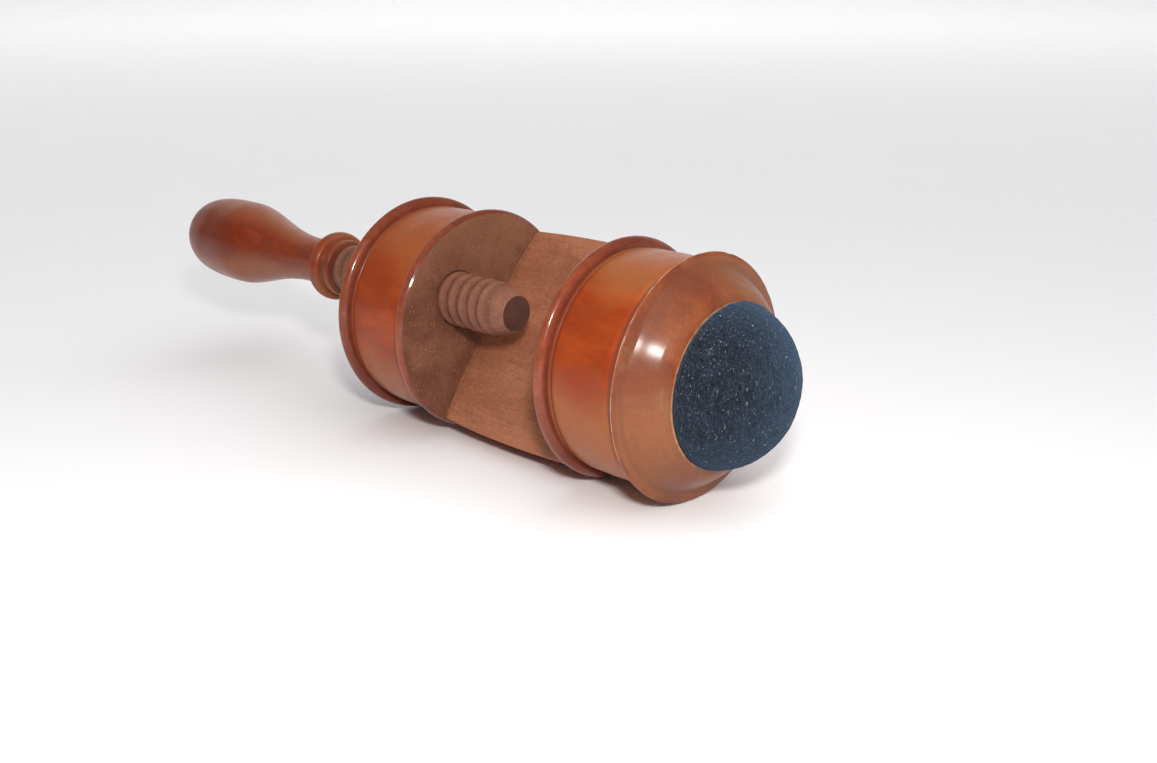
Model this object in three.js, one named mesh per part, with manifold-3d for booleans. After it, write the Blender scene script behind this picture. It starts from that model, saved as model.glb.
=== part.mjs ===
// Turned wooden needlework clamp with a pincushion end, lying on its side.
// Millimetres, +Z up. +X runs along the barrel's turning axis towards the
// pincushion, the floor is Z = 0, and the origin is the centre of the
// bounding box in X and Y.
//
// The barrel is turned from one billet, then a jaw notch is sawn out of its
// side. A wooden screw passes through the tapped far jaw and bears on whatever
// lies between its nose and the near jaw. A moulded cap with a hollow seat is
// let into the barrel's end and carries the pincushion.
import * as THREE from 'three';
import { mergeVertices } from 'three/addons/utils/BufferGeometryUtils.js';
import Module from 'manifold-3d';

// ---------------------------------------------------------------- dimensions
// Stations (S_...) are measured along the barrel axis from the crest of the
// bead on the far end; ORIGIN_S is the station of the part's origin.
const ORIGIN_S = 10.3;
const AXIS_Z = 25.0;          // barrel axis above the floor = bead radius
const R_BEAD = 25.0;          // end bead and near-jaw bead
const R_FACE_BEAD = 24.7;     // bead at the far jaw's inner edge
const BEAD_HALF = 1.35;       // half width of a bead
const R_GROOVE = 22.4;        // quirk beside each bead
const R_FAR = 23.2;           // drum between the far jaw's beads
const R_NEAR = 23.0;          // drum behind the near jaw
const S_END = -1.6;           // far end face
const S_FACE_BEAD = 20.2;
const S_FAR_JAW = 21.5;       // far jaw's inner face
const S_NEAR_JAW = 62.0;      // near jaw's face, so the jaws open 40.5 mm
const S_NEAR_BEAD = 63.4;
const S_CAP = 81.2;           // barrel ends, cap begins
const R_BACK_END = 24.0;      // backbone behind the notch is barrel shaped:
const BACK_CROWN = 0.8;       //   its radius swells by this in the middle

const NOTCH_ANGLE = Math.PI - Math.atan2(0.6, 0.8); // direction the notch opens, from +Y towards +Z
const NOTCH_FLOOR = -0.7;     // floor's height above the barrel axis, along that direction
const NOTCH_FLAT = 17.0;      // half width of the floor's flat middle
const NOTCH_DROP = 1.2;       // how far its edges fall away at the rim

const SCREW_OFFSET = 11.3;    // screw axis from the barrel axis, towards the notch opening
const PITCH = 3.2;
const R_CREST = 5.85;
const R_ROOT = 5.05;
const HOLE_CLEAR = 0.34;      // radial clearance of the tapped hole
const S_SCREW_TIP = 41.1;
const R_SCREW_TIP = 3.85;
const S_NOSE = 38.2;          // nose begins here
const R_NOSE = 4.95;
const S_THREAD_END = -17.6;   // thread runs out at the handle's shoulder
const R_TENON = 4.0;
const S_TENON = -36.0;
const GAP = 0.3;              // glue line or slack between touching pieces

const R_COLLAR = 8.2;
const S_COLLAR = -22.3;
const R_SHOULDER = 6.75;
const S_BULB = -59.94;        // handle's fattest station
const R_BULB = 10.43;
const L_BULB_END = 23.36;
const R_NECK = 5.35;
const S_NECK = -30.3;

const R_LIP = 24.8;           // cap's overhanging lip, a thin fillet
const S_LIP = 83.1;
const R_OVOLO = 23.2;         // quarter round between the lip and the seat
const S_OVOLO = 84.0;
const S_SEAT = 90.3;
const R_SEAT = 16.1;
const R_CUP = 15.6;           // bore that holds the cushion
const S_CUP_FLOOR = 75.0;
const R_SPIGOT = 17.0;
const S_SPIGOT = 71.3;

const S_VELVET = 88.45;       // centre of the crown's ellipsoid
const R_VELVET = 16.86;
const H_VELVET = 15.45;

const N_BARREL = 32;          // a flat of the barrel lies on the floor
const N_SMALL = 20;

// -------------------------------------------------------------------- helpers
const wasm = await Module();
wasm.setup();

const X = (s) => s - ORIGIN_S;
const axisOffset = (e) => [e * Math.cos(NOTCH_ANGLE), e * Math.sin(NOTCH_ANGLE)];

function closed(geometry) {
  const g = geometry.clone();
  g.deleteAttribute('normal');
  g.deleteAttribute('uv');
  const m = mergeVertices(g, 1e-4);
  // drop collapsed triangles at the poles
  const idx = m.index.array, keep = [];
  for (let i = 0; i < idx.length; i += 3) {
    if (idx[i] !== idx[i + 1] && idx[i + 1] !== idx[i + 2] && idx[i] !== idx[i + 2]) keep.push(idx[i], idx[i + 1], idx[i + 2]);
  }
  m.setIndex(keep);
  // face outwards
  const p = m.attributes.position.array;
  let v = 0;
  for (let i = 0; i < keep.length; i += 3) {
    const [a, b, c] = [keep[i] * 3, keep[i + 1] * 3, keep[i + 2] * 3];
    v += p[a] * (p[b + 1] * p[c + 2] - p[b + 2] * p[c + 1])
       - p[a + 1] * (p[b] * p[c + 2] - p[b + 2] * p[c])
       + p[a + 2] * (p[b] * p[c + 1] - p[b + 1] * p[c]);
  }
  if (v < 0) {
    for (let i = 0; i < keep.length; i += 3) [keep[i + 1], keep[i + 2]] = [keep[i + 2], keep[i + 1]];
    m.setIndex(keep);
  }
  return m;
}

// Revolve [station, radius] pairs about a line parallel to X. `flats` keeps the
// flats, not the corners, at the stated radius.
function turned(profile, segments, offset = 0, flats = false, radius = null) {
  const k = flats ? 1 / Math.cos(Math.PI / segments) : 1;
  const pts = profile.map(([s, r]) => new THREE.Vector2(Math.max(r, 0) * k, X(s)));
  const g = new THREE.LatheGeometry(pts, segments, Math.PI / segments, Math.PI * 2);
  g.rotateZ(-Math.PI / 2);
  if (radius) {
    const p = g.attributes.position;
    for (let i = 0; i < p.count; i++) {
      const y = p.getY(i), z = p.getZ(i), r = Math.hypot(y, z);
      if (r < 1e-6) continue;
      const q = radius(p.getX(i) + ORIGIN_S, Math.atan2(z, y), r) / r;
      p.setY(i, y * q);
      p.setZ(i, z * q);
    }
  }
  const [dy, dz] = axisOffset(offset);
  g.translate(0, dy, AXIS_Z + dz);
  return closed(g);
}

function solid(geometry) {
  const g = geometry.index ? geometry : mergeVertices(geometry);
  return new wasm.Manifold(new wasm.Mesh({
    numProp: 3,
    vertProperties: Float32Array.from(g.attributes.position.array),
    triVerts: Uint32Array.from(g.index.array),
  }));
}

function geometryOf(manifold) {
  const mesh = manifold.getMesh();
  const g = new THREE.BufferGeometry();
  g.setAttribute('position', new THREE.BufferAttribute(Float32Array.from(mesh.vertProperties), 3));
  g.setIndex(Array.from(mesh.triVerts));
  g.computeVertexNormals();
  return g;
}

function bead(centre, crest, half, base, steps = 6, from = -1, to = 1) {
  const pts = [];
  for (let i = 0; i <= steps; i++) {
    const t = from + (to - from) * i / steps;
    pts.push([centre + half * t, base + (crest - base) * Math.sqrt(Math.max(0, 1 - t * t))]);
  }
  return pts;
}

// Worn, rounded thread: radius at a station and an angle about the screw axis.
function thread(s, angle, clear) {
  const phase = 2 * Math.PI * (s - S_FAR_JAW) / PITCH - angle;
  return (R_CREST + R_ROOT) / 2 + clear + (R_CREST - R_ROOT) / 2 * Math.cos(phase);
}

const part = new THREE.Group();

function add(name, geometry, colour, roughness, metalness = 0) {
  if (!geometry.attributes.normal) geometry.computeVertexNormals();
  const mesh = new THREE.Mesh(geometry, new THREE.MeshStandardMaterial({ color: colour, roughness, metalness, flatShading: true }));
  mesh.name = name;
  part.add(mesh);
}

// ----------------------------------------------------------------- clamp body
const backbone = [];
for (let i = 0; i <= 6; i++) {
  const s = S_FAR_JAW + (S_NEAR_JAW - S_FAR_JAW) * i / 6;
  const u = 2 * (s - S_FAR_JAW) / (S_NEAR_JAW - S_FAR_JAW) - 1;
  backbone.push([s, R_BACK_END + BACK_CROWN * (1 - u * u)]);
}
const barrelProfile = [
  [S_END, 0],
  [S_END, 22.9],
  ...bead(0, R_BEAD, BEAD_HALF, 23.3),
  [BEAD_HALF + 0.15, R_GROOVE],
  [BEAD_HALF + 0.95, R_GROOVE],
  [BEAD_HALF + 1.45, R_FAR],
  [S_FACE_BEAD - BEAD_HALF - 1.3, R_FAR],
  [S_FACE_BEAD - BEAD_HALF - 0.9, R_GROOVE],
  [S_FACE_BEAD - BEAD_HALF - 0.15, R_GROOVE],
  ...bead(S_FACE_BEAD, R_FACE_BEAD, BEAD_HALF, 23.2, 5, -1, 0.9),
  ...backbone,
  ...bead(S_NEAR_BEAD, R_BEAD, BEAD_HALF, 23.3, 6, -0.95, 1),
  [S_NEAR_BEAD + BEAD_HALF + 0.15, R_GROOVE],
  [S_NEAR_BEAD + BEAD_HALF + 0.8, R_GROOVE],
  [S_NEAR_BEAD + BEAD_HALF + 1.2, R_NEAR],
  [79.7, R_NEAR],
  [80.2, 22.65],
  [S_CAP, 22.65],
  [S_CAP, 0],
];
let barrel = solid(turned(barrelProfile, N_BARREL, 0, true));

// Notch: an extruded outline whose lower edge is the crowned floor.
const outline = new THREE.Shape();
outline.moveTo(-45, NOTCH_FLOOR - NOTCH_DROP * (45 - NOTCH_FLAT) / (24.6 - NOTCH_FLAT));
outline.lineTo(-NOTCH_FLAT, NOTCH_FLOOR);
outline.lineTo(NOTCH_FLAT, NOTCH_FLOOR);
outline.lineTo(45, NOTCH_FLOOR - NOTCH_DROP * (45 - NOTCH_FLAT) / (24.6 - NOTCH_FLAT));
outline.lineTo(45, 45);
outline.lineTo(-45, 45);
outline.closePath();
const notch = new THREE.ExtrudeGeometry(outline, { depth: S_NEAR_JAW - S_FAR_JAW, bevelEnabled: false, steps: 1 });
// outline (u, n) -> (Y, Z) with n along the notch direction; extrusion along X
const nY = Math.cos(NOTCH_ANGLE), nZ = Math.sin(NOTCH_ANGLE);
notch.applyMatrix4(new THREE.Matrix4().set(
  0, 0, 1, X(S_FAR_JAW),
  nZ, nY, 0, 0,
  -nY, nZ, 0, AXIS_Z,
  0, 0, 0, 1));
barrel = barrel.subtract(solid(closed(notch)));

// Tapped hole through the far jaw.
const holeProfile = [[S_END - 1.0, 0]];
for (let s = S_END - 1.0; s < S_FAR_JAW + 1.0; s += PITCH / 5) holeProfile.push([s, R_CREST]);
holeProfile.push([S_FAR_JAW + 1.0, R_CREST], [S_FAR_JAW + 1.0, 0]);
barrel = barrel.subtract(solid(turned(holeProfile, N_SMALL, SCREW_OFFSET, false, (s, a) => thread(s, a, HOLE_CLEAR))));

// Socket for the cap's spigot.
barrel = barrel.subtract(solid(turned([
  [S_SPIGOT - GAP, 0], [S_SPIGOT - GAP, R_SPIGOT + GAP], [S_CAP + 1, R_SPIGOT + GAP], [S_CAP + 1, 0],
], 24)));
add('clamp_body', geometryOf(barrel), 0x9a4a1e, 0.35);

// ------------------------------------------------------------- pincushion cap
const capProfile = [
  [S_SPIGOT, 0],
  [S_SPIGOT, R_SPIGOT],
  [S_CAP + GAP, R_SPIGOT],
  [S_CAP + GAP, 22.7],
  [81.9, 22.7],
  [82.5, 23.3],
  [82.9, 24.1],
  [S_LIP - 0.15, R_LIP - 0.1],
  [S_LIP + 0.15, R_LIP],
  [S_LIP + 0.45, R_LIP - 0.3],
  [S_LIP + 0.65, R_OVOLO],
];
for (let i = 0; i <= 9; i++) {
  const t = 1 - Math.cos(i / 9 * Math.PI / 2), k = 1.16;
  capProfile.push([S_OVOLO + (S_SEAT - S_OVOLO) * t, R_SEAT + (R_OVOLO + 0.15 - R_SEAT) * Math.pow(Math.max(0, 1 - Math.pow(t, k)), 1 / k)]);
}
capProfile.push([S_SEAT - 0.5, R_CUP], [S_CUP_FLOOR, R_CUP], [S_CUP_FLOOR, 0]);
add('pincushion_cap', turned(capProfile, N_BARREL, 0, true), 0x9c5b34, 0.45);

// ------------------------------------------------------------------ the screw
const nose = [[S_NOSE, 0], [S_NOSE, R_NOSE]];
nose.push([39.6, 4.6], [40.7, 4.15], [S_SCREW_TIP, R_SCREW_TIP], [S_SCREW_TIP, 0]);
add('screw_nose', turned(nose, N_SMALL, SCREW_OFFSET), 0x4a2a22, 0.8);

const shank = [[S_TENON, 0], [S_TENON, R_TENON], [S_THREAD_END, R_TENON]];
const S_THREAD_FRONT = S_NOSE - GAP;
const turns = Math.round((S_THREAD_FRONT - S_THREAD_END) / (PITCH / 5));
for (let i = 0; i <= turns; i++) shank.push([S_THREAD_END + (S_THREAD_FRONT - S_THREAD_END) * i / turns, R_CREST]);
shank.push([S_THREAD_FRONT, 0]);
add('clamp_screw', turned(shank, N_SMALL, SCREW_OFFSET, false, (s, a, r) => {
  if (r < R_TENON + 0.01) return r;
  // the thread fades out into the nose's bevel
  const limit = s > 34.5 ? R_CREST - (s - 34.5) * (R_CREST - R_NOSE - 0.05) / (S_NOSE - 34.5) : R_CREST;
  return Math.min(thread(s, a, 0), limit);
}), 0x7d5142, 0.75);

const handle = [];
for (let i = 0; i <= 9; i++) {
  const t = Math.cos(i / 9 * Math.PI / 2);
  handle.push([S_BULB - L_BULB_END * t, R_BULB * Math.sqrt(Math.max(0, 1 - Math.pow(t, 4.455)))]);
}
for (let i = 1; i <= 12; i++) {
  const u = i / 12;
  handle.push([S_BULB + (S_NECK - S_BULB) * u, R_NECK + (R_BULB - R_NECK) * (0.5 + 0.5 * Math.cos(Math.PI * Math.pow(u, 0.70)))]);
}
handle.push([-26.0, 5.3], [-24.9, 5.7], [-24.2, 6.6]);
handle.push(...bead(S_COLLAR, R_COLLAR, 1.7, 6.9, 6, -0.97, 0.97));
handle.push([-20.45, 6.4], [-20.2, 6.2], [-19.95, 6.35], [-19.6, R_SHOULDER], [-18.4, R_SHOULDER], [S_THREAD_END - GAP, 6.3]);
handle.push([S_THREAD_END - GAP, R_TENON + GAP], [S_TENON - GAP, R_TENON + GAP], [S_TENON - GAP, 0]);
add('screw_handle', turned(handle, 24, SCREW_OFFSET), 0x7a3a22, 0.3);

// ----------------------------------------------------------------- pincushion
const crown = (shrink, from) => {
  const pts = [];
  const a = R_VELVET - shrink, h = H_VELVET - shrink;
  const t0 = Math.asin((from - S_VELVET) / h);
  for (let i = 0; i <= 8; i++) {
    const t = t0 + (Math.PI / 2 - t0) * i / 8;
    pts.push([S_VELVET + h * Math.sin(t), i === 8 ? 0 : a * Math.cos(t)]);
  }
  return pts;
};
const MOUTH = 3.2;            // gathered opening underneath
const bag = (rOut, sBase, shrink, thick) => {
  const out = [
    [sBase, MOUTH], [sBase, rOut - 3.0], [sBase + 0.9, rOut - 0.9], [sBase + 2.6, rOut], [S_SEAT - 0.7, rOut],
    ...crown(shrink, 91.6),
  ];
  const inn = [
    ...crown(shrink + thick, 91.6).reverse(),
    [S_SEAT - 0.7, rOut - thick], [sBase + 2.9, rOut - thick], [sBase + 1.7, rOut - thick - 0.9], [sBase + thick, rOut - 3.0 - thick], [sBase + thick, MOUTH],
  ];
  return [...out, ...inn, [sBase, MOUTH]];
};
add('cushion_card', turned([[S_CUP_FLOOR + GAP, 0], [S_CUP_FLOOR + GAP, 15.0], [S_CUP_FLOOR + GAP + 1.0, 15.0], [S_CUP_FLOOR + GAP + 1.0, 0]], 24), 0xb9a98a, 0.9);
const S_BAG = S_CUP_FLOOR + 3.4;
add('cushion_velvet', turned(bag(15.25, S_BAG, 0, 0.9), 28), 0x1c2a40, 0.95);
add('cushion_lining', turned(bag(15.25 - 0.9 - GAP, S_BAG + 0.9 + GAP, 0.9 + GAP, 0.6), 24), 0xd8cbb0, 0.9);
const S_FILL = S_BAG + 0.9 + GAP + 0.6 + GAP;
const rFill = 15.25 - 0.9 - GAP - 0.6 - GAP;
add('cushion_stuffing', turned([
  [S_FILL, 0], [S_FILL, rFill - 3.6], [S_FILL + 1.1, rFill - 1.3], [S_FILL + 2.6, rFill], [S_SEAT - 0.7, rFill],
  ...crown(0.9 + GAP + 0.6 + GAP, 91.6),
], 24), 0x9b7c4f, 1.0);
// the gathering thread, pulled up round the velvet's mouth under the bag
const knot = [];
for (let i = 0; i <= 8; i++) {
  const a = i / 8 * 2 * Math.PI;
  knot.push([S_BAG - GAP - 0.5 + 0.45 * Math.cos(a), MOUTH + 1.0 + 0.45 * Math.sin(a)]);
}
add('gathering_thread', turned(knot, 20), 0x2a2a2e, 0.8);

export default part;
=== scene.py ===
import bpy
import bmesh
import math
import numpy as np
from mathutils import Vector, Matrix
from mathutils import geometry as mgeo


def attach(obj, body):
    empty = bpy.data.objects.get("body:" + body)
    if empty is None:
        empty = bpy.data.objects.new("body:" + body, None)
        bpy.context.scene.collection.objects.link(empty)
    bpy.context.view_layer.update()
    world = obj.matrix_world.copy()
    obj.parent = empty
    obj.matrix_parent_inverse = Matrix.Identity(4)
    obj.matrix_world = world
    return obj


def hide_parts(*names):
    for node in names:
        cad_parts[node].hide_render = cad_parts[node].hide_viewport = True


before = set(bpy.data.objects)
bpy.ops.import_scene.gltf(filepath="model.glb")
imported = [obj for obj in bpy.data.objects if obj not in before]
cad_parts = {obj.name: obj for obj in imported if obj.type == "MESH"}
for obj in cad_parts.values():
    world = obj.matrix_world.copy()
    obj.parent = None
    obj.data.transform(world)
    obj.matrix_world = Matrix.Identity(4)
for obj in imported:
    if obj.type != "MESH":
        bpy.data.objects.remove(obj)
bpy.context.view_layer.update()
scene = bpy.context.scene
col = scene.collection

# --------------------------------------------------------------- dimensions, mm
MM = 0.001
ORIGIN_S, AXIS_Z = 10.3, 25.0
R_BEAD, R_FACE_BEAD, BEAD_HALF = 25.0, 24.7, 1.35
R_GROOVE, R_FAR, R_NEAR = 22.4, 23.2, 23.0
S_END, S_FACE_BEAD, S_FAR_JAW, S_NEAR_JAW, S_NEAR_BEAD, S_CAP = -1.6, 20.2, 21.5, 62.0, 63.4, 81.2
R_BACK_END, BACK_CROWN = 24.0, 0.8
NOTCH_FLOOR, NOTCH_DROP = -0.7, 1.2
E_SCREW, PITCH, R_CREST, R_ROOT, CLEAR = 11.3, 3.2, 5.85, 5.05, 0.24
S_TIP, R_TIP, S_NOSE, R_NOSE, S_THREAD_END = 41.1, 3.85, 38.2, 4.95, -17.6
R_TENON, S_TENON = 4.0, -36.0
S_COLLAR, R_COLLAR, R_SHOULDER = -22.3, 8.2, 6.75
S_BULB, R_BULB, L_BULB_END, R_NECK, S_NECK = -59.94, 10.43, 23.36, 5.35, -30.3
S_LIP, R_LIP, S_OVOLO, R_OVOLO, S_SEAT, R_SEAT = 83.1, 24.8, 84.0, 23.35, 90.3, 16.1
R_CUP, S_CUP_FLOOR, R_SPIGOT, S_SPIGOT = 15.6, 75.0, 17.0, 71.3
S_VELVET, R_VELVET, H_VELVET = 88.45, 16.86, 15.45
TY, TZ, NY, NZ = 0.6, 0.8, -0.8, 0.6      # chord and opening directions of the notch
OFF = (E_SCREW * NY, E_SCREW * NZ)


def rows(pts, step):
    """Resample an (s, r) polyline so that no edge is longer than step."""
    out = [pts[0]]
    for a, b in zip(pts[:-1], pts[1:]):
        n = max(1, int(math.ceil(math.hypot(b[0] - a[0], b[1] - a[1]) / step)))
        for i in range(1, n + 1):
            out.append((a[0] + (b[0] - a[0]) * i / n, a[1] + (b[1] - a[1]) * i / n))
    return out


def bead(c, crest, half, base, steps=16, lo=-1.0, hi=1.0):
    out = []
    a0, a1 = math.asin(lo), math.asin(hi)
    for i in range(steps + 1):
        a = a0 + (a1 - a0) * i / steps
        out.append((c + half * math.sin(a), base + (crest - base) * math.cos(a)))
    return out


def fnoise(seed, n=7):
    """A smooth, seeded wobble of (u, angle), about -1 to 1, periodic in angle."""
    rng = np.random.RandomState(seed)
    terms = [(rng.uniform(0.03, 0.16), rng.randint(0, 6), rng.uniform(0, 6.28), rng.uniform(0.5, 1)) for _ in range(n)]

    def f(u, a):
        return sum(w * math.sin(k * u * 6.28 + m * a + p) for k, m, p, w in terms) / (0.55 * n)
    return f


class Mesh:
    def __init__(self):
        self.v, self.f, self.m = [], [], []

    def ring(self, s, pts):
        """pts are (y, z) mm offsets from the barrel axis; s may be a number or a list."""
        i0 = len(self.v)
        for k, (y, z) in enumerate(pts):
            ss = s[k] if isinstance(s, (list, tuple, np.ndarray)) else s
            self.v.append(((ss - ORIGIN_S) * MM, y * MM, (AXIS_Z + z) * MM))
        return list(range(i0, len(self.v)))

    def point(self, s, y, z):
        return self.ring(s, [(y, z)])[0]

    def strip(self, a, b, mat=0, flip=False, closed=True):
        n = len(a)
        for j in range(n if closed else n - 1):
            k = (j + 1) % n
            q = (a[j], a[k], b[k], b[j])
            self.face(q, mat, flip)

    def fan(self, ring, centre, mat=0, flip=False):
        n = len(ring)
        for j in range(n):
            self.face((ring[j], ring[(j + 1) % n], centre), mat, flip)

    def face(self, q, mat=0, flip=False):
        self.f.append(tuple(reversed(q)) if flip else tuple(q))
        self.m.append(mat)

    def build(self, name, mats, sharp=38, attrs=None):
        me = bpy.data.meshes.new(name)
        me.from_pydata(self.v, [], self.f)
        me.polygons.foreach_set("material_index", self.m)
        for mt in mats:
            me.materials.append(mt)
        me.polygons.foreach_set("use_smooth", [True] * len(me.polygons))
        me.update()
        me.set_sharp_from_angle(angle=math.radians(sharp))
        if attrs:
            co = np.array(self.v) / MM
            s = co[:, 0] + ORIGIN_S
            for key, fn in attrs.items():
                at = me.attributes.new(key, "FLOAT", "POINT")
                at.data.foreach_set("value", np.asarray(fn(s, co[:, 1], co[:, 2] - AXIS_Z), np.float32))
        ob = bpy.data.objects.new(name, me)
        col.objects.link(ob)
        return ob


def circle(r, n, off=(0.0, 0.0), ph=0.0, rf=None):
    out = []
    for j in range(n):
        a = ph + 2 * math.pi * j / n
        q = rf(a) if rf else r
        out.append((off[0] + q * math.cos(a), off[1] + q * math.sin(a)))
    return out


def lathe(M, profile, n, off=(0.0, 0.0), mat=0, rf=None, mats=None):
    """Turned surface. Radius 0 makes a pole. Runs towards +s outside, so that normals face out."""
    prev = None
    for i, (s, r) in enumerate(profile):
        mt = mats(i) if mats else mat
        if r < 1e-6:
            cur = M.point(s, off[0], off[1])
        else:
            cur = M.ring(s, circle(r, n, off, rf=(lambda a, s=s, r=r: rf(s, r, a)) if rf else None))
        if prev is not None:
            pi, ci = isinstance(prev, int), isinstance(cur, int)
            if pi and not ci:
                for j in range(n):
                    M.face((prev, cur[(j + 1) % n], cur[j]), mt)
            elif ci and not pi:
                for j in range(n):
                    M.face((prev[j], prev[(j + 1) % n], cur), mt)
            elif not pi and not ci:
                M.strip(prev, cur, mt)
        prev = cur


# ------------------------------------------------------------------ node helpers
class Mat:
    def __init__(self, name):
        self.m = bpy.data.materials.new(name)
        self.m.use_nodes = True
        self.t = self.m.node_tree
        self.t.nodes.clear()
        self.out = self.n("ShaderNodeOutputMaterial")
        self.bsdf = self.n("ShaderNodeBsdfPrincipled")
        self.t.links.new(self.bsdf.outputs[0], self.out.inputs[0])
        tc = self.n("ShaderNodeTexCoord")
        self.P = self.vm("SCALE", tc.outputs["Object"], scale=1000.0)     # millimetres

    def n(self, kind, **props):
        nd = self.t.nodes.new(kind)
        for k, v in props.items():
            setattr(nd, k, v)
        return nd

    def put(self, nd, key, val):
        s = nd.inputs[key]
        if hasattr(val, "is_linked") or isinstance(val, bpy.types.NodeSocket):
            self.t.links.new(val, s)
        else:
            s.default_value = val

    def vm(self, op, a, b=None, scale=None):
        nd = self.n("ShaderNodeVectorMath", operation=op)
        self.put(nd, 0, a)
        if b is not None:
            self.put(nd, 1, b)
        if scale is not None:
            self.put(nd, 3, scale)
        return nd.outputs[0]

    def mm(self, op, a, b=None, c=None, clamp=False):
        nd = self.n("ShaderNodeMath", operation=op, use_clamp=clamp)
        self.put(nd, 0, a)
        if b is not None:
            self.put(nd, 1, b)
        if c is not None:
            self.put(nd, 2, c)
        return nd.outputs[0]

    def at(self, scale):
        return self.vm("MULTIPLY", self.P, scale)

    def noise(self, scale, detail=3.0, rough=0.5, dist=0.0, vec=None, off=(0, 0, 0)):
        v = vec if vec is not None else self.at(scale)
        if any(off):
            v = self.vm("ADD", v, off)
        nd = self.n("ShaderNodeTexNoise")
        self.put(nd, "Vector", v)
        self.put(nd, "Scale", 1.0)
        self.put(nd, "Detail", detail)
        self.put(nd, "Roughness", rough)
        self.put(nd, "Distortion", dist)
        return nd.outputs[0]

    def remap(self, v, a, b, c=0.0, d=1.0, smooth=True):
        nd = self.n("ShaderNodeMapRange")
        if smooth:
            nd.interpolation_type = "SMOOTHSTEP"
        self.put(nd, 0, v)
        self.put(nd, 1, a)
        self.put(nd, 2, b)
        self.put(nd, 3, c)
        self.put(nd, 4, d)
        return nd.outputs[0]

    def mix(self, f, a, b, blend="MIX"):
        nd = self.n("ShaderNodeMix", data_type="RGBA", blend_type=blend)
        self.put(nd, 0, f)
        self.put(nd, 6, a)
        self.put(nd, 7, b)
        return nd.outputs[2]

    def attr(self, name):
        return self.n("ShaderNodeAttribute", attribute_name=name).outputs["Fac"]

    def bump(self, height, dist, strength=1.0, normal=None):
        nd = self.n("ShaderNodeBump")
        self.put(nd, "Height", height)
        self.put(nd, "Distance", dist)
        self.put(nd, "Strength", strength)
        if normal is not None:
            self.put(nd, "Normal", normal)
        return nd.outputs[0]

    def set(self, **kw):
        for k, v in kw.items():
            self.put(self.bsdf, k.replace("_", " "), v)


def lin(r, g, b):
    f = lambda c: (c / 12.92) if c <= 0.04045 else ((c + 0.055) / 1.055) ** 2.4
    return (f(r / 255), f(g / 255), f(b / 255), 1.0)


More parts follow.
